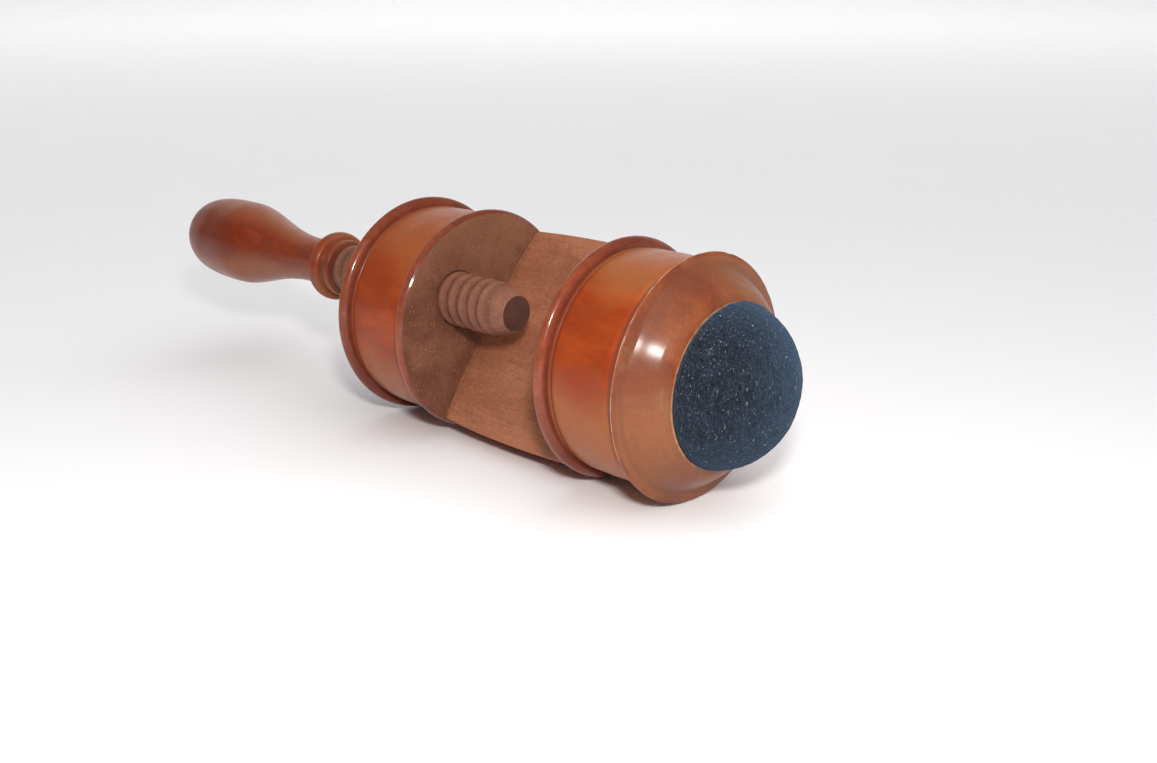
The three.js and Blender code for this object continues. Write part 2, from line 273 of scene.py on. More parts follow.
def polished(name, dark, mid, light, groove, worn, seed, coat=0.5, coat_rough=0.09, rough=(0.28, 0.42), pale=None, mottle=1.0, specks=0.5, rough_bump=0.012, tan_and_sheen=None, rings=0.12, glitter=0.0):
    """French-polished side grain along X: blotchy stain, figure, short pores, dirt in the quirks, worn crests, a paler
    tan that is partly painted sheen, and painted shade laid through the dirt attribute.
    """
    m = Mat(name)
    o = (seed * 13.1, seed * 7.7, seed * 3.3)
    big = m.noise((1 / 26, 1 / 11, 1 / 11), 4, 0.55, 0.6, off=o)
    blot = m.noise((1 / 7.5, 1 / 3.6, 1 / 3.6), 5, 0.62, 0.8, off=o)
    fig = m.noise((1 / 9.0, 1 / 0.9, 1 / 0.9), 4, 0.55, 0.25, off=o)
    fib = m.noise((1 / 2.2, 1 / 0.16, 1 / 0.16), 3, 0.6, 0.1, off=o)
    pore = m.noise((1 / 0.9, 1 / 0.13, 1 / 0.13), 2, 0.5, 0.0, off=(o[1], o[0], o[2]))
    grime = m.noise((1 / 0.5, 1 / 0.5, 1 / 0.5), 6, 0.7, 0.0, off=o)
    c = m.mix(m.remap(big, 0.34, 0.66), mid, light)
    c = m.mix(m.mm("MULTIPLY", m.remap(blot, 0.40, 0.74), 0.5 * mottle), c, dark)
    c = m.mix(m.mm("MULTIPLY", m.remap(fig, 0.45, 0.75), 0.20), c, dark)
    c = m.mix(m.mm("MULTIPLY", m.remap(fib, 0.52, 0.75), 0.26), c, dark)
    c = m.mix(m.mm("MULTIPLY", m.remap(pore, 0.62, 0.74), 0.45 * specks), c, groove)
    if pale is not None:
        pal = m.noise((1 / 14, 1 / 6, 1 / 6), 5, 0.6, 0.5, off=(o[2] + 31, o[0], o[1]))
        c = m.mix(m.mm("MULTIPLY", m.remap(pal, 0.52, 0.70), 0.55), c, pale)
    if tan_and_sheen is not None:      # stain rubbed thin, and painted sheen: paler tan towards the top and bottom, away from the lit side
        c = m.mix(m.mm("MULTIPLY", m.mm("ADD", m.attr("stain_and_sheen"), m.mm("MULTIPLY", m.mm("SUBTRACT", blot, 0.5), 0.9), clamp=True), 0.85), c, tan_and_sheen)
        c = m.mix(m.mm("MULTIPLY", m.remap(fib, 0.46, 0.72), 0.22), c, dark)
    turn = m.noise((1 / 0.16, 1 / 9, 1 / 9), 4, 0.7, 0.0, off=o)
    c = m.mix(m.mm("MULTIPLY", m.remap(turn, 0.45, 0.75), rings), c, groove)
    c = m.mix(m.mm("MULTIPLY", m.remap(grime, 0.54, 0.70), 0.22 + 0.05 * glitter), c, dark)
    wear = m.mm("MULTIPLY", m.attr("wear"), m.remap(m.noise((1 / 3, 1 / 1.6, 1 / 1.6), 4, 0.6, off=o), 0.36, 0.62, 0.25, 1.0))
    c = m.mix(wear, c, worn)
    # groove colour laid by the dirt attribute: dirt in the quirks, and painted shade on bead tops and bottoms, in the
    # notch's jaw corners and on the cap's top
    dirt_and_shade = m.mm("MULTIPLY", m.attr("dirt_and_shade"), m.remap(grime, 0.3, 0.7, 0.62, 1.0))
    c = m.mix(dirt_and_shade, c, groove)
    dust = m.remap(m.noise((1 / 0.55, 1 / 0.4, 1 / 0.4), 1, 0.4, off=(o[0] + 5, 2, 1)), 0.79, 0.83)
    c = m.mix(m.mm("MULTIPLY", dust, 0.35), c, (0.55, 0.42, 0.30, 1))
    r = m.remap(m.noise((1 / 4, 1 / 2.5, 1 / 2.5), 6, 0.65, off=o), 0.3, 0.7, rough[0], rough[1], smooth=False)
    r = m.mm("ADD", r, m.mm("MULTIPLY", dirt_and_shade, 0.22))
    r = m.mm("ADD", r, m.mm("MULTIPLY", dust, 0.2))
    h = m.mm("ADD", m.mm("MULTIPLY", fib, 0.35), m.mm("MULTIPLY", m.remap(pore, 0.60, 0.75), -0.9))
    h = m.mm("ADD", h, m.mm("MULTIPLY", fig, 0.6))
    h = m.mm("ADD", h, m.mm("MULTIPLY", grime, m.mm("ADD", m.mm("MULTIPLY", dirt_and_shade, 2.0), 0.5 + glitter)))
    h = m.mm("ADD", h, m.mm("MULTIPLY", turn, 4.0 * rings))
    m.set(Base_Color=c, Roughness=r, Normal=m.bump(h, rough_bump * MM, 1.0))
    m.bsdf.inputs["Coat Weight"].default_value = coat
    m.bsdf.inputs["Coat Roughness"].default_value = coat_rough
    m.bsdf.inputs["IOR"].default_value = 1.47
    m.bsdf.inputs["Specular IOR Level"].default_value = 0.22
    return m.m


def sawn(name, base, dark, light, speck, seed, end_grain, rough=0.72, marks=0.5, lighter_to_top=0.0):
    """Bare, hand-worn wood. End grain is fine isotropic pores and rays; side grain runs along X."""
    m = Mat(name)
    o = (seed * 5.1, seed * 9.7, seed * 2.3)
    if end_grain:
        fine = m.noise((1 / 0.5, 1 / 0.42, 1 / 0.42), 5, 0.75, 0.0, off=o)
        big = m.noise((1 / 12, 1 / 9, 1 / 9), 4, 0.6, 0.5, off=o)
        line = m.noise(None, 4, 0.6, 0.5, vec=m.vm("MULTIPLY", m.rot(0.9), (1 / 4, 1 / 0.9, 1 / 3.2)))
    else:
        fine = m.noise((1 / 1.1, 1 / 0.34, 1 / 0.34), 5, 0.7, 0.0, off=o)
        big = m.noise((1 / 16, 1 / 6, 1 / 6), 4, 0.6, 0.6, off=o)
        line = m.noise((1 / 11, 1 / 0.8, 1 / 0.8), 4, 0.6, 0.3, off=o)
    c = m.mix(m.remap(big, 0.33, 0.67), base, light)
    c = m.mix(m.mm("MULTIPLY", m.remap(line, 0.42, 0.7), 0.12 if end_grain else 0.22), c, dark)
    c = m.mix(m.mm("MULTIPLY", m.remap(fine, 0.47, 0.66), 0.6), c, dark)
    c = m.mix(m.mm("MULTIPLY", m.remap(fine, 0.46, 0.32), 0.4), c, light)
    # lighter towards the top, from 33 to 54 mm up
    if lighter_to_top:
        z = m.n("ShaderNodeSeparateXYZ")
        m.put(z, 0, m.P)
        c = m.mix(m.mm("MULTIPLY", m.remap(m.mm("ADD", z.outputs[2], m.mm("MULTIPLY", big, 14.0)), 33, 54), lighter_to_top), c, light)
    # dirt on bare wood, and painted shade where the notch floor meets the jaws
    c = m.mix(m.mm("MULTIPLY", m.attr("dirt_and_shade"), 0.85), c, (dark[0] * 0.45, dark[1] * 0.42, dark[2] * 0.45, 1))
    c = m.mix(m.mm("MULTIPLY", m.attr("wear"), 0.6), c, light)
    sp = m.n("ShaderNodeTexVoronoi", feature="F1")
    m.put(sp, "Vector", m.vm("ADD", m.at((1 / 1.5, 1 / 1.5, 1 / 1.2)), m.vm("SCALE", m.at((0.31, 0.43, 0.37)), scale=0.4)))
    m.put(sp, "Scale", 1.0)
    pick = m.remap(m.n_sep(sp.outputs["Color"]), 0.52, 0.98, 0.2, 1.0)
    dot = m.mm("MULTIPLY", m.remap(sp.outputs["Distance"], 0.06, 0.13, 1.0, 0.0), m.mm("MULTIPLY", pick, m.remap(m.n_sep(sp.outputs["Color"]), 0.50, 0.52)))
    c = m.mix(m.mm("MULTIPLY", dot, speck), c, (0.55, 0.38, 0.20, 1))
    r = m.remap(fine, 0.3, 0.7, rough - 0.08, rough + 0.12, smooth=False)
    h = m.mm("ADD", m.mm("MULTIPLY", fine, 1.0), m.mm("MULTIPLY", line, 0.8 * marks))
    h = m.mm("ADD", h, m.mm("MULTIPLY", dot, 0.8))
    m.set(Base_Color=c, Roughness=r, Normal=m.bump(h, 0.06 * MM, 1.0))
    m.bsdf.inputs["Specular IOR Level"].default_value = 0.32
    return m.m


def _rot(self, ang):
    nd = self.n("ShaderNodeVectorRotate", rotation_type="X_AXIS")
    self.put(nd, "Vector", self.P)
    self.put(nd, "Angle", ang)
    return nd.outputs[0]


def _sep(self, colour):
    nd = self.n("ShaderNodeSeparateColor")
    self.put(nd, 0, colour)
    return nd.outputs[0]


Mat.rot = _rot
Mat.n_sep = _sep

# ---------------------------------------------------------------------- materials
# tan colours are the paler stain and also painted sheen on tops and bottoms; the bead and cap groove colours are also
# painted shade on the bead tops and bottoms and on the cap's top
barrel_mat = polished("barrel_polish", lin(120, 39, 14), lin(144, 54, 17), lin(169, 72, 25), lin(104, 57, 47), lin(166, 82, 46), 1, coat=0.14, coat_rough=0.16, tan_and_sheen=lin(158, 93, 50))
bead_mat = polished("bead_polish", lin(84, 33, 20), lin(114, 45, 24), lin(137, 62, 34), lin(86, 45, 34), lin(164, 88, 52), 9, coat=0.6, coat_rough=0.1)
cap_mat = polished("cap_polish", lin(90, 39, 23), lin(116, 53, 29), lin(139, 75, 40), lin(100, 60, 45), lin(226, 188, 150), 2, coat=0.32, coat_rough=0.2, rough=(0.36, 0.5), pale=lin(132, 98, 60), specks=0.35, tan_and_sheen=lin(140, 84, 47), rings=0.42, glitter=3.2, rough_bump=0.022)
handle_mat = polished("handle_polish", lin(84, 30, 14), lin(122, 46, 20), lin(148, 64, 32), lin(84, 48, 38), lin(150, 84, 56), 3, coat=0.16, coat_rough=0.15, tan_and_sheen=lin(146, 86, 56))
jaw_mat = sawn("jaw_end_grain", lin(99, 57, 40), lin(71, 42, 33), lin(128, 84, 62), 0.8, 4, True, lighter_to_top=0.6)
floor_mat = sawn("notch_side_grain", lin(148, 90, 63), lin(112, 66, 48), lin(168, 108, 78), 0.3, 5, False, rough=0.66)
# painted shade: the bore's wall coloured much darker than the jaw, for the shade in the gap round the screw
hole_shade_mat = sawn("tapped_hole_shaded", lin(62, 38, 28), lin(34, 20, 16), lin(84, 52, 36), 0.1, 6, False)
screw_mat = sawn("screw_bare", lin(122, 76, 57), lin(93, 56, 45), lin(139, 91, 72), 0.25, 7, False, rough=0.62, marks=0.3)
tip_mat = sawn("screw_end_grain", lin(80, 50, 42), lin(50, 32, 27), lin(100, 64, 52), 0.3, 8, True, rough=0.7)


# Paler tan stain, partly the wood's own lighter colour and partly painted sheen: it grows with the angle round the
# axis away from the side facing the camera and key light (angle at), so tops and bottoms turn paler; along the
# backbone it is a fixed paler level.
def stain_sheen_mask(lo, hi, at=147.0, far_at=None, r_max=99.0, off=(0.0, 0.0), bridge=None):
    def f(s, y, z):
        y, z = y - off[0], z - off[1]
        a = np.degrees(np.arctan2(z, y)) % 360
        mid = np.where(s < 40, far_at if far_at is not None else at, at)
        d = np.abs((a - mid + 6 * np.sin(s * 0.23) + 180) % 360 - 180)
        u = np.clip((d - lo) / (hi - lo), 0, 1)
        u = u * u * (3 - 2 * u) * (1 - np.clip((d - 62) / 50, 0, 1) * (0.55 + 0.3 * np.sin(np.radians(2 * a) + 0.2 * s)))
        if far_at is not None:
            u = np.where(s < 40, 0.7 * u, u)
        out = u * np.clip((r_max - np.hypot(y, z)) / 0.5, 0, 1)
        if bridge is not None:
            out = np.where((s > S_FAR_JAW + 0.01) & (s < S_NEAR_JAW - 0.01), bridge + 0.25 * np.sin(np.radians(3 * a) + 0.11 * s), out)
        return out
    return f


def bump_of(c, w):
    return lambda s: np.clip(1 - (np.abs(s - c) / w) ** 2, 0, 1)


# Darker quirks by the beads (dirt), and painted shade along the notch's jaw corners and on the tops and bottoms of the
# beads.
def dirt_and_shade_barrel(s, y, z):
    r = np.hypot(y, z)
    d = np.zeros_like(s)
    for a, b in ((1.4, 2.4), (17.75, 18.85), (21.28, 21.46), (62.03, 62.2), (64.8, 65.7), (80.5, 81.4)):
        inside = np.clip(np.minimum(s - a, b - s) / 0.25 + 1, 0, 1)
        d = np.maximum(d, inside)
    d *= (r > 20.0)
    # painted shade: darker within 1.6 mm of each jaw face, in the corners where the notch floor meets the jaws
    back = (s > S_FAR_JAW) & (s < S_NEAR_JAW)
    edge = np.clip(1 - (s - S_FAR_JAW) / 1.6, 0, 1) + np.clip(1 - (S_NEAR_JAW - s) / 1.6, 0, 1)
    d = np.where(back, np.maximum(d * 0, 0.7 * edge), d)
    # painted shade: the beads darker towards their tops and bottoms, away from the side facing the camera and key
    # light
    bead_shade = 0.85 * stain_sheen_mask(25, 60, 160.0)(s, y, z) * np.clip((r - 23.6) / 0.6, 0, 1) * ((s < 1.5) | (np.abs(s - S_FACE_BEAD) < 1.5) | (np.abs(s - S_NEAR_BEAD) < 1.5))
    d = np.where(back, d, np.maximum(d, bead_shade))
    return np.where((np.abs(s - S_FAR_JAW) < 0.01) | (np.abs(s - S_NEAR_JAW) < 0.01), 0.0, d) * 0.62


def wear_barrel(s, y, z):
    w = np.zeros_like(s)
    for c in (0.0, S_FACE_BEAD, S_NEAR_BEAD):
        w = np.maximum(w, np.clip(1 - (np.abs(s - c) / 0.85) ** 2, 0, 1))
    w *= (np.hypot(y, z) > 24.2)
    n = y * NY + z * NZ
    t = y * TY + z * TZ
    arris = (s > S_FAR_JAW + 0.05) & (s < S_NEAR_JAW - 0.05) & (np.abs(t) > 22.6) & (n > -3.0)
    return np.where(arris, 0.8, w * 0.4)


# --------------------------------------------------------------------- clamp body
def floor_n(t):
    d = max(0.0, abs(t) - 15.0) / 9.6
    return NOTCH_FLOOR - 1.25 * d ** 1.4


def corner(R):
    t = R
    for _ in range(40):
        t = math.sqrt(max(0.0, R * R - floor_n(t) ** 2))
    return t, floor_n(t)


def back_r(s):
    u = 2 * (s - S_FAR_JAW) / (S_NEAR_JAW - S_FAR_JAW) - 1
    return R_BACK_END + BACK_CROWN * (1 - u * u)


def thread_r(s, a, clear, sharp=0.75):
    ph = 2 * math.pi * (s - S_FAR_JAW) / PITCH - a
    return (R_ROOT + 0.4 if clear == 0 else R_ROOT) + clear + (R_CREST - R_ROOT - (0.4 if clear == 0 else 0)) * (0.5 + 0.5 * math.cos(ph)) ** sharp


def in_poly(x, y, poly):
    inside = False
    j = len(poly) - 1
    for i in range(len(poly)):
        xi, yi = poly[i]
        xj, yj = poly[j]
        if (yi > y) != (yj > y) and x < (xj - xi) * (y - yi) / (yj - yi) + xi:
            inside = not inside
        j = i
    return inside


def plane_fill(M, outer, holes, mat, flip):
    """Triangulate a flat region bounded by vertex loops, in (t, n)."""
    tn = lambda i: (M.v[i][1] / MM * TY + (M.v[i][2] / MM - AXIS_Z) * TZ, M.v[i][1] / MM * NY + (M.v[i][2] / MM - AXIS_Z) * NZ)
    ids = list(outer)
    edges = [(k, (k + 1) % len(outer)) for k in range(len(outer))]
    for h in holes:
        b = len(ids)
        ids += h
        edges += [(b + k, b + (k + 1) % len(h)) for k in range(len(h))]
    pts = [tn(i) for i in ids]
    res = mgeo.delaunay_2d_cdt([Vector(p) for p in pts], edges, [], 0, 1e-6, True)
    vs, fs, orig = res[0], res[2], res[3]
    po = [tn(i) for i in outer]
    ph = [[tn(i) for i in h] for h in holes]
    for f in fs:
        cx = sum(vs[k][0] for k in f) / 3
        cy = sum(vs[k][1] for k in f) / 3
        if not in_poly(cx, cy, po) or any(in_poly(cx, cy, h) for h in ph):
            continue
        tri = [ids[orig[k][0]] for k in f]
        a, b, c = (tn(i) for i in tri)
        area = (b[0] - a[0]) * (c[1] - a[1]) - (b[1] - a[1]) * (c[0] - a[0])
        if area < 0:
            tri.reverse()
        M.face(tri, mat, flip)


N_OUT, N_IN, N_FLOOR, N_FIL, RHO = 150, 150, 64, 4, 0.42


def angles(R):
    t, n = corner(R)
    a = math.atan2(n, t)
    d = RHO / R
    return math.pi - a + d, 2 * math.pi + a - d      # outer arc runs between these


def tn_yz(t, n):
    return (t * TY + n * NY, t * TZ + n * NZ)


B = Mesh()
wob = fnoise(11)
A0, A1 = angles(R_BACK_END)
arc = [A0 + (A1 - A0) * k / N_OUT for k in range(N_OUT + 1)]
rest = [A1 + (A0 + 2 * math.pi - A1) * k / N_IN for k in range(1, N_IN)]
full = arc + rest


def drum_ring(s, r):
    out = []
    for a in full:
        q = r + 0.03 * wob(s, a) + 0.012 * math.sin(9 * a + s)
        out.append(tn_yz(q * math.cos(a), q * math.sin(a)))
    return B.ring(s, out)


# far drum: end face, bead, quirk, drum, quirk, bead, jaw face
far = [(S_END, 21.9), (S_END + 0.05, 22.35), (S_END + 0.18, 22.7)] + bead(0, R_BEAD, BEAD_HALF, 23.3, 18)
far += [(1.42, 22.85), (1.5, 22.55), (1.65, 22.4), (2.15, 22.4), (2.4, 22.52), (2.6, 22.9), (2.8, 23.15), (3.1, 23.2)]
far += [(s, R_FAR + 0.10 * (1 - ((s - 10.2) / 7.1) ** 2)) for s in np.arange(3.6, 16.9, 0.45)]
far += [(17.2, 23.2), (17.5, 23.15), (17.65, 22.9), (17.85, 22.52), (18.1, 22.4), (18.5, 22.4), (18.68, 22.55), (18.78, 22.85)]
far += bead(S_FACE_BEAD, R_FACE_BEAD, BEAD_HALF, 23.2, 18, -1, 0.86) + [(21.43, 23.9)]
rings = [drum_ring(s, r) for s, r in far]
jaw_ring = drum_ring(S_FAR_JAW, R_BACK_END)
rings.append(jaw_ring)
for k, (a, b) in enumerate(zip(rings[:-1], rings[1:])):
    sm = far[min(k + 1, len(far) - 1)][0]
    B.strip(a, b, 5 if sm < 1.45 or sm > 18.9 else 0)
end_ring = rings[0]

# backbone with the notch floor
N_S = 54


def bridge_ring(s, shared=None):
    R = back_r(s)
    t, n = corner(R)
    b0, b1 = angles(R)
    pts = [] if shared else [tn_yz((R + 0.03 * wob(s, a)) * math.cos(a), (R + 0.03 * wob(s, a)) * math.sin(a)) for a in (b0 + (b1 - b0) * k / N_OUT for k in range(N_OUT + 1))]
    tail = []
    pa = (R * math.cos(b1), R * math.sin(b1))
    pc = (t, n)
    pf = (t - RHO, floor_n(t - RHO))
    for k in range(1, N_FIL):
        u = k / N_FIL
        tail.append(tuple((1 - u) ** 2 * pa[i] + 2 * u * (1 - u) * (pc[i] * 0.9 + 0.05 * (pa[i] + pf[i])) + u * u * pf[i] for i in (0, 1)))
    for k in range(N_FLOOR + 1):
        tt = (t - RHO) * (1 - 2 * k / N_FLOOR)
        tail.append((tt, floor_n(tt) + 0.035 * math.sin(tt * 0.9 + 0.35 * s) * math.sin(0.6 * s + 1.0)))
    for k in range(N_FIL - 1, 0, -1):
        u = k / N_FIL
        p = tuple((1 - u) ** 2 * pa[i] + 2 * u * (1 - u) * (pc[i] * 0.9 + 0.05 * (pa[i] + pf[i])) + u * u * pf[i] for i in (0, 1))
        tail.append((-p[0], p[1]))
    ids = list(shared) if shared else B.ring(s, pts)
    return ids + B.ring(s, [tn_yz(*p) for p in tail])


first = bridge_ring(S_FAR_JAW, jaw_ring[:N_OUT + 1])
near_pre = drum_ring(S_NEAR_JAW, R_BACK_END)
prev = first
for k in range(1, N_S + 1):
    s = S_FAR_JAW + (S_NEAR_JAW - S_FAR_JAW) * k / N_S
    cur = bridge_ring(s, near_pre[:N_OUT + 1] if k == N_S else None)
    nb = len(cur)
    for j in range(nb):
        q = (prev[j], prev[(j + 1) % nb], cur[(j + 1) % nb], cur[j])
        B.face(q, 0 if (j < N_OUT) else (2 if N_OUT + 1 < j < nb - 2 else 0))
    prev = cur
last = prev


# hole
N_H = 112


def hole_ring(s, extra=0.0):
    return B.ring(s, circle(0, N_H, OFF, rf=lambda a: thread_r(s, a, CLEAR) + extra))


rim = hole_ring(S_FAR_JAW, 0.2)
hr = [rim, hole_ring(S_FAR_JAW - 0.12, 0.12), hole_ring(S_FAR_JAW - 0.35, 0.0)]
s = S_FAR_JAW - 0.6
while s > S_END + 0.5:
    hr.append(hole_ring(s))
    s -= 0.25
hr += [hole_ring(S_END + 0.35, 0.0), hole_ring(S_END + 0.12, 0.14), hole_ring(S_END, 0.32)]
for a, b in zip(hr[:-1], hr[1:]):
    B.strip(a, b, 3)
# far jaw face, and the clamp's far end face
loop = [jaw_ring[N_OUT]] + jaw_ring[N_OUT + 1:] + [jaw_ring[0]] + list(reversed(first[N_OUT + 1:]))
plane_fill(B, loop, [rim], 1, False)
plane_fill(B, end_ring, [hr[-1]], 4, True)
# near jaw face
loop = [near_pre[N_OUT]] + near_pre[N_OUT + 1:] + [near_pre[0]] + list(reversed(last[N_OUT + 1:]))
plane_fill(B, loop, [], 1, True)

near = bead(S_NEAR_BEAD, R_BEAD, BEAD_HALF, 23.3, 20, -0.93, 1)
near += [(64.82, 22.85), (64.9, 22.55), (65.05, 22.4), (65.45, 22.4), (65.65, 22.52), (65.8, 22.8), (65.98, 22.97), (66.3, 23.02)]
near += [(s, R_NEAR + 0.04 + 0.06 * (1 - ((s - 72.8) / 6.5) ** 2)) for s in np.arange(66.8, 79.4, 0.45)]
near += [(79.6, 23.0), (79.9, 22.9), (80.15, 22.75), (80.5, 22.66), (S_CAP - 0.1, 22.65), (S_CAP, 22.55), (S_CAP, R_SPIGOT + 0.6), (S_CAP - 0.3, R_SPIGOT + 0.3), (76, R_SPIGOT + 0.3), (S_SPIGOT - 0.3, R_SPIGOT + 0.3)]
prev = near_pre
for s, r in near:
    cur = drum_ring(s, r)
    B.strip(prev, cur, 5 if s < 64.85 else 0)
    prev = cur
B.fan(prev, B.point(S_SPIGOT - 0.3, 0, 0), 0)

# the drums' stain mask is partly painted sheen, paler towards their tops and bottoms; their dirt attribute also holds
# painted shade
body = B.build("barrel", [barrel_mat, jaw_mat, floor_mat, hole_shade_mat, jaw_mat, bead_mat], 42, {"dirt_and_shade": dirt_and_shade_barrel, "wear": wear_barrel, "stain_and_sheen": stain_sheen_mask(15, 40, 152.0, 170.0, 23.9, bridge=0.4)})
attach(body, "clamp")
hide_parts("clamp_body")

# ----------------------------------------------------------------------------- cap
C = Mesh()
wob2 = fnoise(23)
cap = [(S_SPIGOT, 0), (S_SPIGOT, R_SPIGOT - 0.4), (S_SPIGOT + 0.4, R_SPIGOT), (76, R_SPIGOT), (S_CAP + 0.3, R_SPIGOT), (S_CAP + 0.3, 22.5), (S_CAP + 0.38, 22.62)]
cap += [(81.75, 22.66), (82.0, 22.78), (82.25, 23.0), (82.45, 23.3), (82.62, 23.65), (82.74, 24.05), (82.82, 24.4), (82.88, 24.58), (82.95, 24.7), (83.03, 24.77), (83.12, 24.81), (83.22, 24.81), (83.3, 24.79), (83.38, 24.74), (83.48, 24.6), (83.57, 24.35), (83.64, 24.0), (83.71, 23.6), (83.79, 23.2), (83.89, 22.86), (84.03, 22.58), (84.18, 22.38), (84.35, 22.24)]
knots = [(84.35, 22.24), (85.0, 21.75), (86.0, 21.03), (87.0, 20.27), (88.0, 19.46), (88.4, 19.12), (88.8, 18.72), (89.2, 18.25), (89.6, 17.67), (89.9, 17.1), (90.15, 16.5), (90.28, 16.2)]
for a, b, c, d in zip([knots[0]] + knots[:-2], knots[:-1], knots[1:], knots[2:] + [knots[-1]]):
    for i in range(1, 6):      # Catmull-Rom through knots read from the outline, then eased
        t = i / 5
        cap.append(tuple(0.5 * (2 * b[j] + (c[j] - a[j]) * t + (2 * a[j] - 5 * b[j] + 4 * c[j] - d[j]) * t * t + (3 * b[j] - a[j] - 3 * c[j] + d[j]) * t ** 3) for j in (0, 1)))
cap += [ (S_SEAT, R_SEAT - 0.1), (S_SEAT - 0.12, R_SEAT - 0.35), (S_SEAT - 0.5, R_CUP), (85, R_CUP), (80, R_CUP), (S_CUP_FLOOR, R_CUP), (S_CUP_FLOOR, 0)]


def chip(s, r, a):
    """Soft wobble, and a few knocks out of the lip."""
    q = r + 0.03 * wob2(s, a)
    lipness = max(0.0, 1 - abs(s - 83.2) / 0.55)
    if lipness > 0:
        q -= lipness * 0.16 * max(0.0, math.sin(5.0 * a + 1.3) * math.sin(13 * a + 0.4) * math.sin(29 * a)) ** 1.5
    return q


lathe(C, cap, 300, rf=chip)


# Dirt in the cove by the joint and in the quirk, darker round the inside of the cup, and painted shade on the top of
# the shoulder.
def dirt_and_shade_cap(s, y, z):
    r = np.hypot(y, z)
    d = np.clip(1 - np.abs(s - 81.7) / 0.55, 0, 1) * (r > 20)
    d = np.maximum(d, 0.55 * np.clip(1 - np.abs(s - 83.95) / 0.3, 0, 1) * (r > 22))
    top_shade = np.clip((z - 4.0) / 12.0, 0, 1) * np.clip((r - 18.5) / 4.0, 0, 1)      # painted shade: a dull brown shoulder, darker towards the top
    d = np.maximum(d, 0.6 * top_shade * (s > 83.9))
    d = np.maximum(d, np.clip(1 - np.abs(r - 15.7) / 0.4, 0, 1) * (s > 80) * (s < 90.2))
    return d


def wear_cap(s, y, z):
    r = np.hypot(y, z)
    w = np.clip(1 - np.abs(s - 83.1) / 0.2, 0, 1) * (r > 24.55) * 1.0
    w = np.maximum(w, 0.5 * np.clip(1 - np.abs(r - 16.15) / 0.35, 0, 1) * (s > 89.8))
    return w


# the cap's stain mask is partly painted sheen, paler away from the lit side; its dirt attribute also holds painted
# shade on the shoulder's top
cap_ob = C.build("pincushion_socket", [cap_mat], 50, {"dirt_and_shade": dirt_and_shade_cap, "wear": wear_cap, "stain_and_sheen": stain_sheen_mask(22, 72, 136.0, r_max=24.4)})
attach(cap_ob, "clamp")
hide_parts("pincushion_cap")

# --------------------------------------------------------------------------- screw
W = Mesh()
N_W = 120
shank = [(S_TENON, 0), (S_TENON, R_TENON - 0.4), (S_TENON + 0.4, R_TENON), (-30, R_TENON), (-24, R_TENON), (S_THREAD_END - 0.02, R_TENON)]
ss = S_THREAD_END
while ss < S_NOSE - 0.05:
    shank.append((ss, R_CREST))
    ss += 0.16
shank.append((S_NOSE - 0.03, R_CREST))
shank.append((S_NOSE - 0.03, 0))
wob3 = fnoise(37)


def screw_rf(s, r, a):
    if r < R_TENON + 0.01:
        return r
    limit = R_CREST if s < 34.5 else R_CREST - (s - 34.5) * (R_CREST - R_NOSE) / (S_NOSE - 34.5)
    start = min(1.0, max(0.0, (s - S_THREAD_END) / 0.5))
    q = min(thread_r(s, a, 0.0), limit)
    fade = min(1.0, max(0.0, (S_NOSE - s) / 2.2))
    q = limit - (limit - q) * (0.25 + 0.75 * fade) if s > S_NOSE - 2.2 else q
    if s > S_NOSE - 0.6:
        u = (s - (S_NOSE - 0.6)) / 0.6
        q = q * (1 - u) + R_NOSE * u
    return (q + 0.05 * wob3(s * 2.0, a)) * start + (1 - start) * min(q, 5.2)


lathe(W, shank, N_W, OFF, rf=screw_rf)


def groove_dirt(s, y, z):
    yy, zz = y - OFF[0], z - OFF[1]
    r, a = np.hypot(yy, zz), np.arctan2(zz, yy)
    ph = 2 * np.pi * (s - S_FAR_JAW) / PITCH - a
    return np.clip(0.5 - 0.62 * np.cos(ph), 0, 1) * 0.34 * (r > 4.5)


def crest_wear(s, y, z):
    yy, zz = y - OFF[0], z - OFF[1]
    r, a = np.hypot(yy, zz), np.arctan2(zz, yy)
    ph = 2 * np.pi * (s - S_FAR_JAW) / PITCH - a
    return np.clip(np.cos(ph) * 1.3 - 0.4, 0, 1) * 0.55 * (r > 4.5)


screw = W.build("wooden_screw", [screw_mat], 60, {"dirt_and_shade": groove_dirt, "wear": crest_wear})
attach(screw, "screw")
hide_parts("clamp_screw")

T = Mesh()
nose = [(S_NOSE, 0), (S_NOSE, R_NOSE), (38.7, 4.86), (39.2, 4.74), (39.7, 4.56), (40.2, 4.36), (40.6, 4.18), (40.85, 4.06), (41.0, 3.95), (41.07, 3.82), (41.1, 3.66), (41.06, 3.4), (41.0, 2.6), (40.97, 1.4), (40.96, 0)]
n_side = 10
wob4 = fnoise(41)
lathe(T, nose, 96, OFF, rf=lambda s, r, a: r + 0.04 * wob4(s, a) * min(1, r / 3), mats=lambda i: 1 if i >= 10 else 0)
tip = T.build("screw_tip", [screw_mat, tip_mat], 40, {
    "dirt_and_shade": lambda s, y, z: np.clip(1 - np.abs(s - 41.0) / 0.3, 0, 1) * 0.2,
    "wear": lambda s, y, z: np.clip(1 - np.abs(np.hypot(y - OFF[0], z - OFF[1]) - 3.85) / 0.35, 0, 1) * (s > 40.6)})
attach(tip, "nose")
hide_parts("screw_nose")

